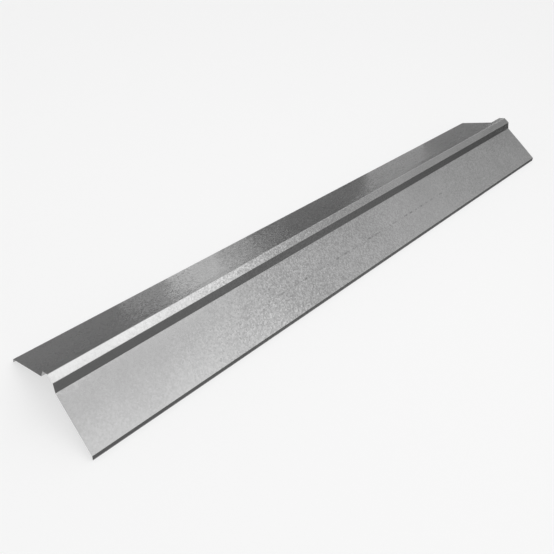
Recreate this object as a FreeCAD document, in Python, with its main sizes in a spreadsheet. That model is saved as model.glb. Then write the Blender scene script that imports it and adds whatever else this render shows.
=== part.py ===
# Ridge cap of a metal roof: one strip of galvanised sheet, folded along its length.
# Two wings slope down to either side of the ridge, a raised bead with a pitched top runs
# between them over the ridge line, and a lip is turned down along each outer edge.
#
# Frame: the folds run along Y, the wings slope down towards -X and +X, and +Z is up.
# The origin lies midway along the cap, below the ridge line, on the level that both
# lips stand on.

import FreeCAD, Part
import Sketcher
import enum
import math
import os

# Driving dimensions, in millimetres and degrees. Widths are measured along the outer
# face of the sheet, from one fold line to the next.
SIZES = (
    ("cap_length", 2000, "length of the cap"),
    ("sheet_gauge", 0.5, "thickness of the sheet"),
    ("roof_pitch", 27, "slope of the wings, degrees"),
    ("wing_width", 150, "wing, from the foot of the bead to the lip"),
    ("lip_width", 12, "lip, from the wing down to its cut edge"),
    ("lip_fold", 55, "turn from the wing into the lip, degrees"),
    ("bead_side", 25, "side of the bead, from its foot to its shoulder"),
    ("bead_fold", 45, "turn from the wing into the side of the bead, degrees"),
    ("bead_top", 23, "half of the bead's top, from the shoulder to the ridge line"),
    ("bead_pitch", 25, "slope of the bead's top, degrees"),
    ("fold_radius", 1.5, "inside radius of the folds"),
    ("ridge_radius", 2, "inside radius of the fold along the ridge line"),
)

# The flat stretches of one half of the section, from the cut edge up to the ridge line:
# name, width, and the angles that add up to the slope.
STRETCHES = (
    ("lip", "lip_width", ("roof_pitch", "lip_fold")),
    ("wing", "wing_width", ("roof_pitch",)),
    ("side", "bead_side", ("roof_pitch", "bead_fold")),
    ("top", "bead_top", ("bead_pitch",)),
)

# Places nearer to each other than this are the same place.
CLOSE = 1e-4


class Mark(enum.IntEnum):
    """Numbers by which a sketch knows the two ends of a line and its own two axes."""

    LINE_START = 1
    LINE_END = 2
    LEVEL_AXIS = -1
    UPRIGHT_AXIS = -2


def make_sheet(doc):
    """Spreadsheet with a named cell for each driving dimension."""
    sheet = doc.addObject("Spreadsheet::Sheet", "sizes")
    for row, (alias, value, meaning) in enumerate(SIZES, start=1):
        sheet.set(f"A{row}", meaning)
        sheet.set(f"B{row}", str(value))
        sheet.setAlias(f"B{row}", alias)
    doc.recompute()
    return sheet


def summed(aliases):
    """Expression that adds up cells of the spreadsheet."""
    return " + ".join(f"sizes.{alias}" for alias in aliases)


def half_section(sheet):
    """Corners of the left half of the outline, from the lip's cut edge to the ridge line."""
    corners = [FreeCAD.Vector(0, 0, 0)]
    for name, width, angles in STRETCHES:
        slope = math.radians(sum(sheet.get(angle) for angle in angles))
        run = FreeCAD.Vector(math.cos(slope), math.sin(slope), 0)
        corners.append(corners[-1] + run * sheet.get(width))
    reach = FreeCAD.Vector(corners[-1].x, 0, 0)
    return [corner - reach for corner in corners]


def draw_outline(body, sheet):
    """Closed outline of the cap's outside, seen along the ridge line.

    The left half is dimensioned, the right half mirrors it, and a level line joins the
    lips across the bottom.
    """
    outline = body.newObject("Sketcher::SketchObject", "outside_outline")
    plane = next(item for item in body.Origin.OriginFeatures if item.Role == "XZ_Plane")
    outline.AttachmentSupport = [(plane, "")]
    outline.MapMode = "FlatFace"

    left = half_section(sheet)
    right = [FreeCAD.Vector(-corner.x, corner.y, 0) for corner in reversed(left[:-1])]
    corners = left + right
    ends = corners[1:] + corners[:1]
    outline.addGeometry([Part.LineSegment(start, end) for start, end in zip(corners, ends)], False)

    last = len(corners) - 1
    ridge = len(STRETCHES)
    for line in range(last):
        join = Sketcher.Constraint("Coincident", line, Mark.LINE_END, line + 1, Mark.LINE_START)
        outline.addConstraint(join)
    outline.addConstraint(Sketcher.Constraint("Coincident", last, Mark.LINE_END, 0, Mark.LINE_START))
    for line in range(ridge):
        mirror = (line, Mark.LINE_START, last - line, Mark.LINE_START, Mark.UPRIGHT_AXIS)
        outline.addConstraint(Sketcher.Constraint("Symmetric", *mirror))
    outline.addConstraint(Sketcher.Constraint("PointOnObject", ridge, Mark.LINE_START, Mark.UPRIGHT_AXIS))
    outline.addConstraint(Sketcher.Constraint("PointOnObject", 0, Mark.LINE_START, Mark.LEVEL_AXIS))

    for line, (name, width, angles) in enumerate(STRETCHES):
        span = left[line + 1] - left[line]
        distance = outline.addConstraint(Sketcher.Constraint("Distance", line, span.Length))
        outline.renameConstraint(distance, f"{name}_width")
        outline.setExpression(f"Constraints.{name}_width", f"sizes.{width}")
        slope = outline.addConstraint(Sketcher.Constraint("Angle", line, math.atan2(span.y, span.x)))
        outline.renameConstraint(slope, f"{name}_slope")
        outline.setExpression(f"Constraints.{name}_slope", summed(angles))
    return outline


def fold_edges(shape, corners):
    """Names of the edges along the cap that run through the given corners of its outline."""
    names = []
    for number, edge in enumerate(shape.Edges, start=1):
        middle = edge.CenterOfMass
        for corner in corners:
            across = abs(abs(middle.x) - abs(corner.x))
            if max(across, abs(middle.y), abs(middle.z - corner.y)) < CLOSE:
                names.append(f"Edge{number}")
    return names


def round_folds(body, base, name, corners, radii):
    """Round the corners of the solid form where the outer face of the sheet turns."""
    folds = body.newObject("PartDesign::Fillet", name)
    folds.Base = (base, fold_edges(base.Shape, corners))
    folds.setExpression("Radius", summed(radii))
    body.Document.recompute()
    return folds


def open_faces(shape):
    """Names of the faces where the sheet leaves off: both ends and the level underside."""
    named = [(face.BoundBox, f"Face{number}") for number, face in enumerate(shape.Faces, start=1)]
    return [name for box, name in named if box.YLength < CLOSE or box.ZLength < CLOSE]


def make_cap(doc, sheet):
    """The folded cap: a solid of its outside, rounded at the folds, then hollowed to the sheet.

    The outer face lies outside the folds at the lips, the shoulders and the ridge line, so it
    turns there on the inside radius plus the sheet. At the feet of the bead it lies inside.
    """
    body = doc.addObject("PartDesign::Body", "ridge_cap")
    body.Label = "ridge_cap"
    cut_edge, lip, foot, shoulder, ridge_line = half_section(sheet)

    form = body.newObject("PartDesign::Pad", "outside_form")
    form.Profile = draw_outline(body, sheet)
    form.SideType = "Symmetric"
    form.setExpression("Length", "sizes.cap_length")
    doc.recompute()

    outward = ("fold_radius", "sheet_gauge")
    edges = round_folds(body, form, "lip_and_shoulder_folds", (lip, shoulder), outward)
    feet = round_folds(body, edges, "foot_folds", (foot,), ("fold_radius",))
    ridge = round_folds(body, feet, "ridge_fold", (ridge_line,), ("ridge_radius", "sheet_gauge"))

    folded = body.newObject("PartDesign::Thickness", "folded_sheet")
    folded.Base = (ridge, open_faces(ridge.Shape))
    folded.Reversed = True
    folded.setExpression("Value", "sizes.sheet_gauge")
    doc.recompute()
    return body


def check(doc, body):
    """Stop unless every step was rebuilt and the cap is one sound solid."""
    failed = [item.Label for item in doc.Objects if {"Invalid", "Error"} & set(item.State)]
    if failed:
        raise RuntimeError(f"not rebuilt: {failed}")
    if body.Shape.isNull() or not body.Shape.isValid() or len(body.Shape.Solids) != 1:
        raise RuntimeError(f"{body.Label} is not one sound solid")


def main():
    doc = FreeCAD.newDocument("ridge_cap_document")
    sheet = make_sheet(doc)
    cap = make_cap(doc, sheet)
    check(doc, cap)
    os.makedirs("parts", exist_ok=True)
    cap.Shape.exportStep(os.path.join("parts", f"{cap.Label}.step"))


main()
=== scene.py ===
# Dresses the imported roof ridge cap: its folded sheet, its zinc coat and the stage it is shown on.
# Everything is in metres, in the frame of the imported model: the folds run along Y and +Z is up.

import math

import bpy
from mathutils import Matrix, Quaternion, Vector


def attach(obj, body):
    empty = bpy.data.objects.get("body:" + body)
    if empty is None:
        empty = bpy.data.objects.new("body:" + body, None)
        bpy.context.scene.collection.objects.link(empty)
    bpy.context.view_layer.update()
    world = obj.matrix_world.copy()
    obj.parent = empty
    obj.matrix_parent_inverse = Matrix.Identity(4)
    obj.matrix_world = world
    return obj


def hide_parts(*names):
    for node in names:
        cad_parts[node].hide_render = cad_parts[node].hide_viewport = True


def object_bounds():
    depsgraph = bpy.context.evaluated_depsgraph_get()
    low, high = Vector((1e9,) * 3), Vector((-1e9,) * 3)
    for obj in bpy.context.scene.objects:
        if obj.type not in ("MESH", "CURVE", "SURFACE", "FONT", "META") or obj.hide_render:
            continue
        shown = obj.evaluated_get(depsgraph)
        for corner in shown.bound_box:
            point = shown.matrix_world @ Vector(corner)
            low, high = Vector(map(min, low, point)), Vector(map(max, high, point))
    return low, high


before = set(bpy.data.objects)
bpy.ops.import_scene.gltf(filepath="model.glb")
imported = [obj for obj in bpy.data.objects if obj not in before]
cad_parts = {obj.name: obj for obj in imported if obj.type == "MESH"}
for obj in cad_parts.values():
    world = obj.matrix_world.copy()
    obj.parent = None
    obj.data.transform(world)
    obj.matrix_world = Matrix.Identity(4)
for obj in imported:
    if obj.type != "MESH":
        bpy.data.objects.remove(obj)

bl_info = {
    "name": "Roof ridge cap",
    "version": (1, 0, 0),
    "blender": (4, 5, 0),
    "location": "3D View > Sidebar > Ridge cap",
    "description": "Folds the sheet of a roof ridge cap, coats it with zinc and sets a stage for it",
    "category": "Add Mesh",
}

CAD_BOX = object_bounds()
CAD_NODE = "ridge_cap"
MM = 0.001

# The sheet is drawn in flat spans of about this size, across and along, so that it can bow.
SPAN = 10 * MM
FOLD_STEPS = 6
RIDGE_STEPS = 8
# Two faces that meet at more than this angle have a hard edge between them.
HARD_TURN = math.radians(40)

# Long shallow waves that a thin wing keeps from the folding: wavelength, share of the bow, phase.
WING_WAVES = (
    (0.83, 0.45, 0.4),
    (0.47, 0.35, 2.1),
    (0.29, 0.20, 4.4),
)
BACK_WING_PHASE = 1.7

# Real sizes in the zinc coat: ragged edges of the flakes, bloomed patches and the rub line.
RAGGED_WIDTH = 2 * MM
RAGGED_SHIFT = 0.8 * MM
BLOOM_WIDTH = 160 * MM
RUB_CORE = 1 * MM
RUB_EDGE = 3 * MM
RUB_DASH = 30 * MM
# How far the rub line runs from the middle of the cap before it starts to fade, and to its end.
RUB_REACH = (300 * MM, 500 * MM)
# How far the painted glint of the flakes runs from its place before it starts to fade, and to its
# end.
GLINT_REACH = (80 * MM, 650 * MM)
# How much the flakes differ in tone there, where the wide spread is painted glint, and elsewhere,
# where it is the coat's own spangle.
SPANGLE_AND_GLINT_SPREAD = (0.30, 0.03)
# How far the flakes tilt along X, Y and Z. The folds run along Y.
FLAKE_TILT = (0.03, 0.12, 0.03)
# Roughness of the glossiest flakes, and of the dullest.
FLAKE_ROUGHNESS = (0.14, 0.19)
# How far bloom shifts the zinc's tone either way, and how much of the rub line's colour shows.
BLOOM_SHIFT = 0.08
RUB_STRENGTH = 0.8
# Drag lines of a sheared edge are about 0.1 mm wide, and are drawn coarser so that they show.
DRAG_WIDTH = 2 * MM

# The square photograph's width in pixels, and the width of the camera's sensor in millimetres.
PHOTO_WIDTH = 554
SENSOR_WIDTH = 36
CAMERA_PLACE = Vector((0.8654, -1.4132, 1.2639))
CAMERA_AIM = Vector((-0.2607, -0.0730, 0.0500))
CAMERA_ROLL = math.radians(8.61)
FOCAL_PIXELS = 660.1
# Where the camera's own axis meets the photograph, which is an off-centre cut of a larger one.
AXIS_PIXEL = (268, 190)

FLOOR_REACH = 30.0
# Share of white glow in the floor where it is looked at.
FLOOR_LIFT = 0.6
DIFFUSER_HEIGHT = 2.0
DIFFUSER_ACROSS = (-0.5, 1.7)
DIFFUSER_ALONG = (-1.6, 6.5)
# Brightness of the dome at the horizon and overhead.
DOME_LEVELS = (0.60, 0.90)

# Cloths beside the cap, seen only in the metal, where they paint its dark reflections and, in the
# pale strips, its paler patches: name, felt, near edge, far edge, and rise behind the far edge.
# An edge runs along Y, and is given by its X, its start and its end. The floor shows between the
# near strip and the middle one.
CLOTH_HEIGHT = 0.5 * MM
REFLECTION_CLOTHS = (
    ("front", "front_reflection_cloth", (0.165, -1.6, 3.0), (1.2, -1.6, 3.6), 0.6),
    ("back_near", "end_reflection_cloth", (-0.165, -1.6, -0.72), (-2.6, -1.6, 0.50), 1.1),
    ("back_near_strip", "pale_reflection_cloth", (-0.165, -0.72, -0.56), (-2.6, 0.50, 0.77), 1.1),
    ("back_middle_strip", "pale_reflection_cloth", (-0.165, -0.39, -0.26), (-2.6, 1.33, 1.68), 1.1),
    ("back_middle", "back_reflection_cloth", (-0.165, -0.26, 0.36), (-2.6, 1.68, 2.75), 1.1),
    ("back_far_strip", "pale_reflection_cloth", (-0.165, 0.36, 0.72), (-2.6, 2.75, 3.75), 1.1),
    ("back_far", "end_reflection_cloth", (-0.165, 0.72, 1.60), (-2.6, 3.75, 5.20), 1.1),
)
# Where along the cap a felt of two tones starts to change, and where it has changed: the front cloth
# grows darker there, as painted shade in the metal.
PAINTED_SHADE_CHANGE = (0.0, 1.5)

# Places of a Mix node's two colours among its inputs, and of their mix among its outputs.
FIRST_COLOUR = 6
SECOND_COLOUR = 7
MIXED_COLOUR = 2


def from_hex(code):
    """Linear colour of an sRGB hex value."""
    shares = [int(code[place:place + 2], 16) / 255 for place in (0, 2, 4)]
    return tuple(s / 12.92 if s <= 0.04045 else ((s + 0.055) / 1.055) ** 2.4 for s in shares)


def opaque(colour):
    """The colour with full alpha, as a node's socket takes it."""
    return (*colour, 1.0)


def length_setting(name, description, default):
    """A length that the user may change, in metres."""
    return bpy.props.FloatProperty(
        name=name, description=description, default=default, min=0.0, precision=5, unit="LENGTH"
    )


def place_setting(name, description, default):
    """A place along an axis that the user may change, in metres."""
    return bpy.props.FloatProperty(
        name=name, description=description, default=default, precision=5, unit="LENGTH"
    )


def angle_setting(name, description, degrees):
    """An angle that the user may change."""
    return bpy.props.FloatProperty(
        name=name, description=description, default=math.radians(degrees), subtype="ANGLE"
    )


def colour_setting(name, description, code):
    """A colour that the user may change."""
    return bpy.props.FloatVectorProperty(
        name=name, description=description, default=from_hex(code), size=3, min=0.0, max=1.0,
        subtype="COLOR",
    )


class CapSizes(bpy.types.PropertyGroup):
    """Sizes of the folded sheet, measured along its outer face from fold line to fold line."""

    length: length_setting("Length", "Length of the cap", CAD_BOX[1].y - CAD_BOX[0].y)
    gauge: length_setting("Gauge", "Thickness of the sheet", 0.5 * MM)
    pitch: angle_setting("Pitch", "Slope of the wings", 27)
    bead_pitch: angle_setting("Bead pitch", "Slope of the bead's top", 25)
    lip_width: length_setting("Lip", "Lip, from the wing down to its cut edge", 12 * MM)
    lip_fold: angle_setting("Lip fold", "Turn from the wing into the lip", 55)
    wing_width: length_setting("Wing", "Wing, from the foot of the bead to the lip", 150 * MM)
    bead_side: length_setting("Bead side", "Side of the bead, from foot to shoulder", 25 * MM)
    bead_top: length_setting("Bead top", "Half of the bead's top, shoulder to ridge line", 23 * MM)
    bead_fold: angle_setting("Bead fold", "Turn from the wing into the side of the bead", 45)
    fold_radius: length_setting("Fold radius", "Inside radius of the folds", 1.5 * MM)
    ridge_radius: length_setting("Ridge radius", "Inside radius of the ridge line", 2 * MM)
    wing_bow: length_setting("Wing bow", "How far a wing bows out of flat", 0.8 * MM)


class ZincLooks(bpy.types.PropertyGroup):
    """Looks of the zinc coat."""

    bright_zinc: colour_setting("Bright zinc", "Flakes that face the light", "C8C8C8")
    dull_zinc: colour_setting("Dull zinc", "Flakes that face away and dull patches", "959595")
    scuff: colour_setting("Scuff", "Rubbed marks along the sheet", "7A7A7A")
    bare_steel: colour_setting("Bare steel", "Sheared edges", "8C8A87")
    flake: length_setting("Flake", "Width of a flake of the spangle", 3.5 * MM)
    rub_place: length_setting("Rub line", "How far from the ridge line the wing is rubbed", 96 * MM)
    # Place of the painted glint, round which the flakes' tone is spread much wider.
    glint_place: place_setting("Spangle", "Where along the cap the flakes differ most", -200 * MM)


class StageLooks(bpy.types.PropertyGroup):
    """Looks of the floor and of what stands round the cap."""

    floor: colour_setting("Floor", "Pale floor", "FAFAFA")
    backdrop: colour_setting("Backdrop", "Pale backdrop beyond the floor", "DEDEDE")
    # The cloths are seen only in the metal: their colours paint its reflections, the dark cloths
    # dark ones and the pale strips paler patches.
    front_reflection_cloth: colour_setting("Front cloth", "Cloth in front of the near end", "8E8E8E")
    # Far tone of the front cloth, painted darker as shade in the metal towards the cap's far end.
    front_far_shade: colour_setting("Dark cloth", "Cloth in front of the far end", "6A6A6A")
    end_reflection_cloth: colour_setting("End cloth", "Cloth behind both ends", "A0A0A0")
    back_reflection_cloth: colour_setting("Back cloth", "Cloth behind the middle", "909090")
    pale_reflection_cloth: colour_setting("Pale cloth", "Paler strips between the cloths behind", "C4C4C4")


def add_node(tree, kind, settings=None, sockets=None):
    """Add a node, set it up, and give each socket a value or a link."""
    node = tree.nodes.new(kind)
    for name, value in (settings or {}).items():
        setattr(node, name, value)
    for name, value in (sockets or {}).items():
        if isinstance(value, bpy.types.NodeSocket):
            tree.links.new(value, node.inputs[name])
        else:
            node.inputs[name].default_value = value
    return node


def new_material(name):
    """An empty node material and its tree."""
    material = bpy.data.materials.new(name)
    material.use_nodes = True
    material.node_tree.nodes.clear()
    return material, material.node_tree


def link_object(name, mesh):
    """Put a mesh into the scene under a name."""
    piece = bpy.data.objects.new(name, mesh)
    bpy.context.scene.collection.objects.link(piece)
    return piece


def half_section(sizes):
    """Fold lines of one half of the outer face, from the ridge line down to the cut edge."""
    stretches = (
        (sizes.bead_top, sizes.bead_pitch),
        (sizes.bead_side, sizes.pitch + sizes.bead_fold),
        (sizes.wing_width, sizes.pitch),
        (sizes.lip_width, sizes.pitch + sizes.lip_fold),
    )
    lines = [Vector((0.0, 0.0))]
    for width, slope in stretches:
        lines.append(lines[-1] + Vector((math.cos(slope), -math.sin(slope))) * width)
    drop = Vector((0.0, lines[-1].y))
    return [line - drop for line in lines]


def outer_line(sizes):
    """Points of the outer face across the sheet: place, outward normal, and bow from -1 to 1.

    The bow is 0 at the folds, rises to 1 or -1 in the middle of a wing, and its sign says which.
    """
    half = half_section(sizes)
    outward = sizes.fold_radius + sizes.gauge
    radii = (sizes.ridge_radius + sizes.gauge, outward, sizes.fold_radius, outward)
    corners = [Vector((-line.x, line.y)) for line in reversed(half[1:])] + half
    rounds = [None, *reversed(radii[1:]), *radii, None]
    # The wings are the second stretch from either cut edge.
    wing_side = {2: -1.0, len(corners) - 2: 1.0}

    points = []
    last = len(corners) - 1
    start = corners[0]
    for number in range(1, last + 1):
        run = (corners[number] - corners[number - 1]).normalized()
        normal = Vector((-run.y, run.x))
        end = corners[number]
        turn = 0.0
        if number < last:
            after = (corners[number + 1] - corners[number]).normalized()
            turn = math.atan2(run.cross(after), run.dot(after))
            end = end - run * rounds[number] * math.tan(abs(turn) / 2)
        spans = max(2, round((end - start).length / SPAN))
        for span in range(spans + 1):
            share = span / spans
            bow = wing_side.get(number, 0.0) * math.sin(math.pi * share)
            points.append((start.lerp(end, share), normal, bow))
        if number == last:
            break
        side = math.copysign(1.0, turn)
        centre = end + normal * rounds[number] * side
        steps = RIDGE_STEPS if number == len(half) - 1 else FOLD_STEPS
        for step in range(1, steps):
            angle = turn * step / steps
            turned = Vector((
                normal.x * math.cos(angle) - normal.y * math.sin(angle),
                normal.x * math.sin(angle) + normal.y * math.cos(angle),
            ))
            points.append((centre - turned * rounds[number] * side, turned, 0.0))
        start = corners[number] + after * rounds[number] * math.tan(abs(turn) / 2)
    return points


def wing_wave(along, bow):
    """Share of the bow at a place along the wing. The two wings don't wave in step."""
    phase = BACK_WING_PHASE if bow < 0 else 0.0
    waves = [
        share * math.sin(math.tau * along / length + start + phase)
        for length, share, start in WING_WAVES
    ]
    return abs(bow) * sum(waves)


def folded_sheet(sizes):
    """The sheet as one closed skin: its outer line and its inner one, swept along the folds."""
    outer = outer_line(sizes)
    stations = round(sizes.length / SPAN)
    count = len(outer)
    vertices = []
    for station in range(stations + 1):
        along = sizes.length * (station / stations - 0.5)
        for depth in (0.0, sizes.gauge):
            for place, normal, bow in outer:
                lift = sizes.wing_bow * wing_wave(along, bow) - depth
                across = place + normal * lift
                vertices.append((across.x, along, max(0.0, across.y)))

    def vertex(station, layer, number):
        return (station * 2 + layer) * count + number

    faces = []
    cut_faces = []
    for station in range(stations):
        ahead = station + 1
        for number in range(count - 1):
            beside = number + 1
            faces.append((vertex(station, 0, number), vertex(station, 0, beside),
                          vertex(ahead, 0, beside), vertex(ahead, 0, number)))
            faces.append((vertex(station, 1, beside), vertex(station, 1, number),
                          vertex(ahead, 1, number), vertex(ahead, 1, beside)))
        cut_faces.append((vertex(station, 1, 0), vertex(station, 0, 0),
                          vertex(ahead, 0, 0), vertex(ahead, 1, 0)))
        cut_faces.append((vertex(station, 0, count - 1), vertex(station, 1, count - 1),
                          vertex(ahead, 1, count - 1), vertex(ahead, 0, count - 1)))
    for number in range(count - 1):
        beside = number + 1
        cut_faces.append((vertex(0, 0, beside), vertex(0, 0, number),
                          vertex(0, 1, number), vertex(0, 1, beside)))
        cut_faces.append((vertex(stations, 0, number), vertex(stations, 0, beside),
                          vertex(stations, 1, beside), vertex(stations, 1, number)))

    mesh = bpy.data.meshes.new("folded_sheet")
    mesh.from_pydata(vertices, [], faces + cut_faces)
    for number, polygon in enumerate(mesh.polygons):
        polygon.use_smooth = True
        polygon.material_index = 0 if number < len(faces) else 1
    mesh.set_sharp_from_angle(angle=HARD_TURN)
    mesh.validate()
    mesh.update()
    return mesh


def hot_dip_zinc(looks):
    """Hot-dip galvanised steel: zinc that froze on the sheet in flakes.

    The eye gets a soft grey gloss, not a mirror. Each flake froze at its own tilt, so its tone
    and gloss differ a little from the next one's: the spangle, a few millimetres wide. The flakes
    lie level across the sheet and tilt mostly along it. Round one place along the cap their tone
    is spread much wider, which is painted glint. Broad patches are duller where the coat has
    bloomed. A broken rub line runs along the front wing.
    """
    material, tree = new_material("hot_dip_galvanised_steel")
    place = add_node(tree, "ShaderNodeTexCoord").outputs["Object"]
    strong, weak = SPANGLE_AND_GLINT_SPREAD
    strong_end, weak_start = GLINT_REACH
    rub_fade, rub_end = RUB_REACH
    glossy, dull = FLAKE_ROUGHNESS

    feather = add_node(tree, "ShaderNodeTexNoise", sockets={
        "Vector": place, "Scale": 1 / RAGGED_WIDTH, "Detail": 2.0, "Roughness": 0.6})
    shifted = add_node(tree, "ShaderNodeVectorMath", {"operation": "MULTIPLY_ADD"}, {
        0: feather.outputs["Color"], 1: (RAGGED_SHIFT, RAGGED_SHIFT, RAGGED_SHIFT), 2: place})
    flakes = add_node(tree, "ShaderNodeTexVoronoi", sockets={
        "Vector": shifted.outputs["Vector"], "Scale": 1 / looks.flake})
    flake = add_node(tree, "ShaderNodeSeparateColor", sockets={"Color": flakes.outputs["Color"]})

    clouds = add_node(tree, "ShaderNodeTexNoise", sockets={
        "Vector": place, "Scale": 1 / BLOOM_WIDTH, "Detail": 3.0, "Roughness": 0.55})
    bloom = add_node(tree, "ShaderNodeMapRange", sockets={
        "Value": clouds.outputs["Fac"], "From Min": 0.3, "From Max": 0.7,
        "To Min": -BLOOM_SHIFT, "To Max": BLOOM_SHIFT})

    spot = add_node(tree, "ShaderNodeSeparateXYZ", sockets={"Vector": place})
    # Painted glint: round one place along the cap the flakes' tone is spread much wider, standing in
    # for flakes that glitter in the light there.
    off_place = add_node(tree, "ShaderNodeMath", {"operation": "SUBTRACT"}, {
        0: spot.outputs["Y"], 1: looks.glint_place})
    from_place = add_node(tree, "ShaderNodeMath", {"operation": "ABSOLUTE"}, {
        0: off_place.outputs["Value"]})
    spread = add_node(tree, "ShaderNodeMapRange", {"interpolation_type": "SMOOTHSTEP"}, {
        "Value": from_place.outputs["Value"], "From Min": strong_end, "From Max": weak_start,
        "To Min": strong, "To Max": weak})
    own_tone = add_node(tree, "ShaderNodeMapRange", sockets={
        "Value": flake.outputs["Red"], "To Min": -1.0, "To Max": 1.0})
    tone = add_node(tree, "ShaderNodeMath", {"operation": "MULTIPLY_ADD"}, {
        0: own_tone.outputs["Result"], 1: spread.outputs["Result"], 2: 0.5})
    share = add_node(tree, "ShaderNodeMath", {"operation": "ADD", "use_clamp": True}, {
        0: tone.outputs["Value"], 1: bloom.outputs["Result"]})
    bloomed = add_node(tree, "ShaderNodeMix", {"data_type": "RGBA"}, {
        "Factor": share.outputs["Value"],
        FIRST_COLOUR: opaque(looks.dull_zinc), SECOND_COLOUR: opaque(looks.bright_zinc)})

    off_line = add_node(tree, "ShaderNodeMath", {"operation": "SUBTRACT"}, {
        0: spot.outputs["X"], 1: looks.rub_place})
    from_line = add_node(tree, "ShaderNodeMath", {"operation": "ABSOLUTE"}, {
        0: off_line.outputs["Value"]})
    on_line = add_node(tree, "ShaderNodeMapRange", sockets={
        "Value": from_line.outputs["Value"], "From Min": RUB_CORE, "From Max": RUB_EDGE,
        "To Min": 1.0, "To Max": 0.0})
    breaks = add_node(tree, "ShaderNodeTexNoise", {"noise_dimensions": "1D"}, {
        "W": spot.outputs["Y"], "Scale": 1 / RUB_DASH, "Detail": 3.0, "Roughness": 0.7})
    dashes = add_node(tree, "ShaderNodeMapRange", sockets={
        "Value": breaks.outputs["Fac"], "From Min": 0.46, "From Max": 0.66,
        "To Max": RUB_STRENGTH})
    from_middle = add_node(tree, "ShaderNodeMath", {"operation": "ABSOLUTE"}, {
        0: spot.outputs["Y"]})
    reach = add_node(tree, "ShaderNodeMapRange", {"interpolation_type": "SMOOTHSTEP"}, {
        "Value": from_middle.outputs["Value"], "From Min": rub_fade, "From Max": rub_end,
        "To Min": 1.0, "To Max": 0.0})
    line_dashes = add_node(tree, "ShaderNodeMath", {"operation": "MULTIPLY"}, {
        0: on_line.outputs["Result"], 1: dashes.outputs["Result"]})
    rub = add_node(tree, "ShaderNodeMath", {"operation": "MULTIPLY"}, {
        0: line_dashes.outputs["Value"], 1: reach.outputs["Result"]})
    rubbed = add_node(tree, "ShaderNodeMix", {"data_type": "RGBA"}, {
        "Factor": rub.outputs["Value"],
        FIRST_COLOUR: bloomed.outputs[MIXED_COLOUR], SECOND_COLOUR: opaque(looks.scuff)})

    gloss = add_node(tree, "ShaderNodeMapRange", sockets={
        "Value": flake.outputs["Green"], "To Min": glossy, "To Max": dull})

    centred = add_node(tree, "ShaderNodeVectorMath", {"operation": "SUBTRACT"}, {
        0: flakes.outputs["Color"], 1: (0.5, 0.5, 0.5)})
    face = add_node(tree, "ShaderNodeNewGeometry").outputs["Normal"]
    tilted = add_node(tree, "ShaderNodeVectorMath", {"operation": "MULTIPLY_ADD"}, {
        0: centred.outputs["Vector"], 1: FLAKE_TILT, 2: face})
    flake_face = add_node(tree, "ShaderNodeVectorMath", {"operation": "NORMALIZE"}, {
        0: tilted.outputs["Vector"]})

    zinc = add_node(tree, "ShaderNodeBsdfPrincipled", sockets={
        "Base Color": rubbed.outputs[MIXED_COLOUR], "Metallic": 1.0,
        "Roughness": gloss.outputs["Result"], "Normal": flake_face.outputs["Vector"]})
    add_node(tree, "ShaderNodeOutputMaterial", sockets={"Surface": zinc.outputs["BSDF"]})
    return material


def sheared_steel(looks):
    """Low-carbon steel cut by a shear: a dull grey edge with short upright drag lines."""
    material, tree = new_material("sheared_steel")
    place = add_node(tree, "ShaderNodeTexCoord").outputs["Object"]
    drag = add_node(tree, "ShaderNodeTexNoise", sockets={
        "Vector": place, "Scale": 1 / DRAG_WIDTH, "Detail": 2.0})
    tone = add_node(tree, "ShaderNodeMix", {"data_type": "RGBA"}, {
        "Factor": drag.outputs["Fac"],
        FIRST_COLOUR: opaque(looks.bare_steel), SECOND_COLOUR: opaque(looks.dull_zinc)})
    steel = add_node(tree, "ShaderNodeBsdfPrincipled", sockets={
        "Base Color": tone.outputs[MIXED_COLOUR], "Metallic": 1.0, "Roughness": 0.5})
    add_node(tree, "ShaderNodeOutputMaterial", sockets={"Surface": steel.outputs["BSDF"]})
    return material


def reflection_felt(name, near_colour, far_colour):
    """Matt, soft felt, so its tone is even; seen only in the metal, it paints a reflection there. A
    felt of two tones changes along the cap, which is painted shade.
    """
    material, tree = new_material(name)
    change_start, change_end = PAINTED_SHADE_CHANGE
    place = add_node(tree, "ShaderNodeTexCoord").outputs["Object"]
    spot = add_node(tree, "ShaderNodeSeparateXYZ", sockets={"Vector": place})
    share = add_node(tree, "ShaderNodeMapRange", sockets={
        "Value": spot.outputs["Y"], "From Min": change_start, "From Max": change_end})
    # Painted shade: a felt of two tones, the front cloth, grows darker along the cap, so the metal
    # shows it darker towards its far end.
    dye = add_node(tree, "ShaderNodeMix", {"data_type": "RGBA"}, {
        "Factor": share.outputs["Result"],
        FIRST_COLOUR: opaque(near_colour), SECOND_COLOUR: opaque(far_colour)})
    felt = add_node(tree, "ShaderNodeBsdfDiffuse", sockets={"Color": dye.outputs[MIXED_COLOUR]})
    add_node(tree, "ShaderNodeOutputMaterial", sockets={"Surface": felt.outputs["BSDF"]})
    return material


def looked_at(tree):
    """1 for a ray that looks at the stage, straight or in something glossy or clear, and else 0."""
    path = add_node(tree, "ShaderNodeLightPath")
    direct = add_node(tree, "ShaderNodeMath", {"operation": "MAXIMUM"}, {
        0: path.outputs["Is Camera Ray"], 1: path.outputs["Is Glossy Ray"]})
    seen = add_node(tree, "ShaderNodeMath", {"operation": "MAXIMUM"}, {
        0: direct.outputs["Value"], 1: path.outputs["Is Transmission Ray"]})
    return seen.outputs["Value"]


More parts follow.
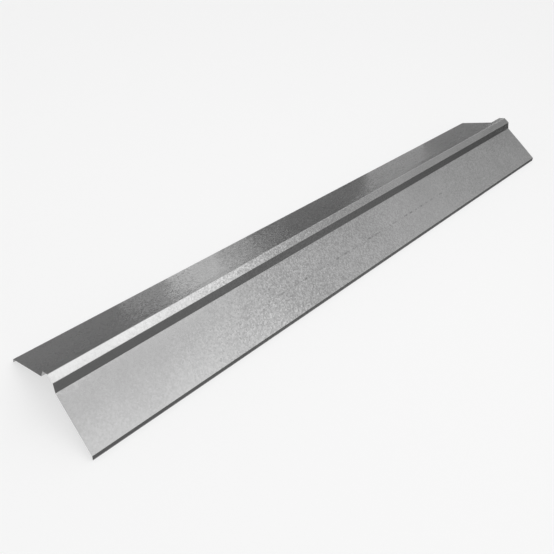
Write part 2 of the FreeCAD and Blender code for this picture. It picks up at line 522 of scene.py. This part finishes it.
def pale_floor(looks):
    """Matt white lacquer on a board: an even pale ground without gloss.

    It is lifted towards white where it is looked at, also in the metal.
    """
    material, tree = new_material("matt_white_lacquer")
    share = add_node(tree, "ShaderNodeMath", {"operation": "MULTIPLY"}, {
        0: looked_at(tree), 1: FLOOR_LIFT})
    paint = add_node(tree, "ShaderNodeBsdfDiffuse", sockets={"Color": opaque(looks.floor)})
    lift = add_node(tree, "ShaderNodeEmission", sockets={
        "Color": opaque(looks.floor), "Strength": 1.0})
    blend = add_node(tree, "ShaderNodeMixShader", sockets={
        0: share.outputs["Value"], 1: paint.outputs["BSDF"], 2: lift.outputs["Emission"]})
    add_node(tree, "ShaderNodeOutputMaterial", sockets={"Surface": blend.outputs["Shader"]})
    return material


def backlit_nylon():
    """White nylon stretched on a frame and lit from behind: a soft glow without a hard edge.

    It glows most above the near end of the bead, dims along the cap, and is a little brighter
    towards the front. A strip of it above the ridge line stays bright along the whole cap. Places
    on it are in metres, and a glow of 1 is white.
    """
    material, tree = new_material("backlit_white_nylon")
    place = add_node(tree, "ShaderNodeTexCoord").outputs["Object"]
    spot = add_node(tree, "ShaderNodeSeparateXYZ", sockets={"Vector": place})
    across = spot.outputs["X"]
    along = spot.outputs["Y"]
    far = add_node(tree, "ShaderNodeMapRange", {"interpolation_type": "SMOOTHSTEP"}, {
        "Value": along, "From Min": 2.4, "From Max": 5.2, "To Min": 0.74, "To Max": 0.46})
    near = add_node(tree, "ShaderNodeMapRange", {"interpolation_type": "SMOOTHSTEP"}, {
        "Value": along, "From Min": 0.55, "From Max": 1.65, "To Min": 0.28, "To Max": 0.0})
    corner = add_node(tree, "ShaderNodeMapRange", sockets={
        "Value": across, "From Min": 0.65, "From Max": 1.1, "To Min": 0.6, "To Max": 1.9})
    level = add_node(tree, "ShaderNodeMath", {"operation": "MULTIPLY_ADD"}, {
        0: near.outputs["Result"], 1: corner.outputs["Result"], 2: far.outputs["Result"]})
    front = add_node(tree, "ShaderNodeMapRange", sockets={
        "Value": across, "From Min": 0.65, "From Max": 1.1, "To Min": 0.95, "To Max": 1.10})
    wing = add_node(tree, "ShaderNodeMath", {"operation": "MULTIPLY"}, {
        0: level.outputs["Value"], 1: front.outputs["Result"]})
    key = add_node(tree, "ShaderNodeMapRange", {"interpolation_type": "SMOOTHSTEP"}, {
        "Value": along, "From Min": -0.1, "From Max": 1.6, "To Min": 1.20, "To Max": -0.12})
    over_bead = add_node(tree, "ShaderNodeMapRange", {"interpolation_type": "SMOOTHSTEP"}, {
        "Value": across, "From Min": 0.55, "From Max": 0.61, "To Min": 1.0, "To Max": 0.0})
    before_end = add_node(tree, "ShaderNodeMapRange", {"interpolation_type": "SMOOTHSTEP"}, {
        "Value": along, "From Min": -1.4, "From Max": -0.5})
    behind_bead = add_node(tree, "ShaderNodeMapRange", {"interpolation_type": "SMOOTHSTEP"}, {
        "Value": across, "From Min": 0.2, "From Max": 0.36, "To Min": 0.5, "To Max": 1.0})
    near_key = add_node(tree, "ShaderNodeMath", {"operation": "MULTIPLY"}, {
        0: key.outputs["Result"], 1: before_end.outputs["Result"]})
    bead_key = add_node(tree, "ShaderNodeMath", {"operation": "MULTIPLY"}, {
        0: near_key.outputs["Value"], 1: behind_bead.outputs["Result"]})
    bead = add_node(tree, "ShaderNodeMath", {"operation": "MULTIPLY_ADD"}, {
        0: bead_key.outputs["Value"], 1: over_bead.outputs["Result"], 2: wing.outputs["Value"]})
    ridge = add_node(tree, "ShaderNodeMapRange", {"interpolation_type": "SMOOTHSTEP"}, {
        "Value": across, "From Min": 0.12, "From Max": 0.24, "To Min": 1.2, "To Max": 0.0})
    glow = add_node(tree, "ShaderNodeMath", {"operation": "MAXIMUM"}, {
        0: bead.outputs["Value"], 1: ridge.outputs["Result"]})
    nylon = add_node(tree, "ShaderNodeEmission", sockets={
        "Color": opaque(from_hex("FFFFFF")), "Strength": glow.outputs["Value"]})
    add_node(tree, "ShaderNodeOutputMaterial", sockets={"Surface": nylon.outputs["Emission"]})
    return material


def flat_sheet(name, corners, faces, material):
    """A sheet of the stage, with one material."""
    mesh = bpy.data.meshes.new(name)
    mesh.from_pydata(corners, [], faces)
    mesh.materials.append(material)
    return link_object(name, mesh)


def lay_floor(looks):
    """The level floor, at the height that the cap stands on."""
    corners = [
        (-FLOOR_REACH, -FLOOR_REACH, 0), (FLOOR_REACH, -FLOOR_REACH, 0),
        (FLOOR_REACH, FLOOR_REACH, 0), (-FLOOR_REACH, FLOOR_REACH, 0),
    ]
    flat_sheet("floor", corners, [(0, 1, 2, 3)], pale_floor(looks))


def lay_reflection_cloth(name, near_edge, far_edge, rise, material):
    """A grey cloth beside the cap, seen only in the metal, where it paints a reflection.

    It lies on the floor between two edges that run along Y, each given by its X and its ends,
    and rises upright behind the far one.
    """
    near, near_start, near_end = near_edge
    far, far_start, far_end = far_edge
    top = CLOTH_HEIGHT + rise
    corners = [
        (near, near_start, CLOTH_HEIGHT), (near, near_end, CLOTH_HEIGHT),
        (far, far_end, CLOTH_HEIGHT), (far, far_start, CLOTH_HEIGHT),
        (far, far_end, top), (far, far_start, top),
    ]
    cloth = flat_sheet(name, corners, [(0, 1, 2, 3), (3, 2, 4, 5)], material)
    # Painted reflection: the cloth shows only in the metal, casts no shadow and lights nothing.
    cloth.visible_camera = False
    cloth.visible_diffuse = False
    cloth.visible_shadow = False


def lay_reflection_cloths(looks):
    """All the cloths, each in its felt."""
    felts = {
        # Each felt paints a reflection in the metal.
        "front_reflection_cloth": reflection_felt("front_reflection_cloth", looks.front_reflection_cloth, looks.front_far_shade),
        "end_reflection_cloth": reflection_felt("end_reflection_cloth", looks.end_reflection_cloth, looks.end_reflection_cloth),
        "back_reflection_cloth": reflection_felt("back_reflection_cloth", looks.back_reflection_cloth, looks.back_reflection_cloth),
        "pale_reflection_cloth": reflection_felt("pale_reflection_cloth", looks.pale_reflection_cloth, looks.pale_reflection_cloth),
    }
    for name, felt, near_edge, far_edge, rise in REFLECTION_CLOTHS:
        lay_reflection_cloth(name, near_edge, far_edge, rise, felts[felt])


def hang_diffuser():
    """The diffuser over the cap, which lights it and faces down. The camera doesn't see it."""
    back, front = DIFFUSER_ACROSS
    start, end = DIFFUSER_ALONG
    corners = [
        (back, start, DIFFUSER_HEIGHT), (front, start, DIFFUSER_HEIGHT),
        (front, end, DIFFUSER_HEIGHT), (back, end, DIFFUSER_HEIGHT),
    ]
    diffuser = flat_sheet("overhead_diffuser", corners, [(3, 2, 1, 0)], backlit_nylon())
    diffuser.visible_camera = False


def soft_dome(looks):
    """A white dome round the stage, brighter overhead. Where it is looked at, the backdrop shows."""
    world = bpy.data.worlds.new("soft_dome")
    world.use_nodes = True
    tree = world.node_tree
    tree.nodes.clear()
    horizon, overhead = DOME_LEVELS
    way = add_node(tree, "ShaderNodeTexCoord").outputs["Generated"]
    height = add_node(tree, "ShaderNodeSeparateXYZ", sockets={"Vector": way})
    level = add_node(tree, "ShaderNodeMapRange", sockets={
        "Value": height.outputs["Z"], "To Min": horizon, "To Max": overhead})
    sky = add_node(tree, "ShaderNodeBackground", sockets={
        "Color": opaque(from_hex("FFFFFF")), "Strength": level.outputs["Result"]})
    backdrop = add_node(tree, "ShaderNodeBackground", sockets={
        "Color": opaque(looks.backdrop), "Strength": 1.0})
    dome = add_node(tree, "ShaderNodeMixShader", sockets={
        0: looked_at(tree), 1: sky.outputs["Background"], 2: backdrop.outputs["Background"]})
    add_node(tree, "ShaderNodeOutputWorld", sockets={"Surface": dome.outputs["Shader"]})
    return world


def photograph_camera():
    """The camera, at the photograph's place and angle."""
    camera = bpy.data.cameras.new("camera")
    camera.sensor_width = SENSOR_WIDTH
    camera.lens = FOCAL_PIXELS * SENSOR_WIDTH / PHOTO_WIDTH
    camera.shift_x = (PHOTO_WIDTH / 2 - AXIS_PIXEL[0]) / PHOTO_WIDTH
    camera.shift_y = (AXIS_PIXEL[1] - PHOTO_WIDTH / 2) / PHOTO_WIDTH
    holder = bpy.data.objects.new("camera", camera)
    holder.location = CAMERA_PLACE
    holder.rotation_mode = "QUATERNION"
    level_view = (CAMERA_AIM - CAMERA_PLACE).to_track_quat("-Z", "Y")
    holder.rotation_quaternion = level_view @ Quaternion((0, 0, 1), CAMERA_ROLL)
    bpy.context.scene.collection.objects.link(holder)
    return holder


class RIDGECAP_OT_fold_sheet(bpy.types.Operator):
    """Fold the sheet of the ridge cap and coat it with zinc"""

    bl_idname = "ridge_cap.fold_sheet"
    bl_label = "Fold sheet"

    def execute(self, context):
        sizes = context.scene.ridge_cap_sizes
        looks = context.scene.ridge_cap_zinc
        mesh = folded_sheet(sizes)
        mesh.materials.append(hot_dip_zinc(looks))
        mesh.materials.append(sheared_steel(looks))
        cap = link_object("folded_cap", mesh)
        # Shading follows the wide flat faces, so that they look flat right up to the narrow folds.
        cap.modifiers.new("flat_shading", "WEIGHTED_NORMAL").keep_sharp = True
        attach(cap, "root")
        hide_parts(CAD_NODE)
        return {"FINISHED"}


class RIDGECAP_OT_set_stage(bpy.types.Operator):
    """Lay the floor and the cloths, hang the diffuser, light the dome and place the camera"""

    bl_idname = "ridge_cap.set_stage"
    bl_label = "Set stage"

    def execute(self, context):
        scene = context.scene
        looks = scene.ridge_cap_stage
        scene.view_settings.view_transform = "Standard"
        lay_floor(looks)
        lay_reflection_cloths(looks)
        hang_diffuser()
        scene.world = soft_dome(looks)
        scene.camera = photograph_camera()
        return {"FINISHED"}


class RIDGECAP_PT_sidebar(bpy.types.Panel):
    """Lists the sizes and looks of the ridge cap and the steps that make it"""

    bl_idname = "RIDGECAP_PT_sidebar"
    bl_label = "Ridge cap"
    bl_space_type = "VIEW_3D"
    bl_region_type = "UI"
    bl_category = "Ridge cap"

    def draw(self, context):
        column = self.layout.column()
        scene = context.scene
        for group in (scene.ridge_cap_sizes, scene.ridge_cap_zinc, scene.ridge_cap_stage):
            for name in group.bl_rna.properties.keys():
                if name not in ("name", "rna_type"):
                    column.prop(group, name)
        column.operator(RIDGECAP_OT_fold_sheet.bl_idname)
        column.operator(RIDGECAP_OT_set_stage.bl_idname)


CLASSES = (
    CapSizes,
    ZincLooks,
    StageLooks,
    RIDGECAP_OT_fold_sheet,
    RIDGECAP_OT_set_stage,
    RIDGECAP_PT_sidebar,
)


def register():
    for item in CLASSES:
        bpy.utils.register_class(item)
    bpy.types.Scene.ridge_cap_sizes = bpy.props.PointerProperty(type=CapSizes)
    bpy.types.Scene.ridge_cap_zinc = bpy.props.PointerProperty(type=ZincLooks)
    bpy.types.Scene.ridge_cap_stage = bpy.props.PointerProperty(type=StageLooks)


def unregister():
    del bpy.types.Scene.ridge_cap_stage
    del bpy.types.Scene.ridge_cap_zinc
    del bpy.types.Scene.ridge_cap_sizes
    for item in reversed(CLASSES):
        bpy.utils.unregister_class(item)


def main():
    register()
    bpy.ops.ridge_cap.fold_sheet()
    bpy.ops.ridge_cap.set_stage()


if __name__ == "__main__":
    main()
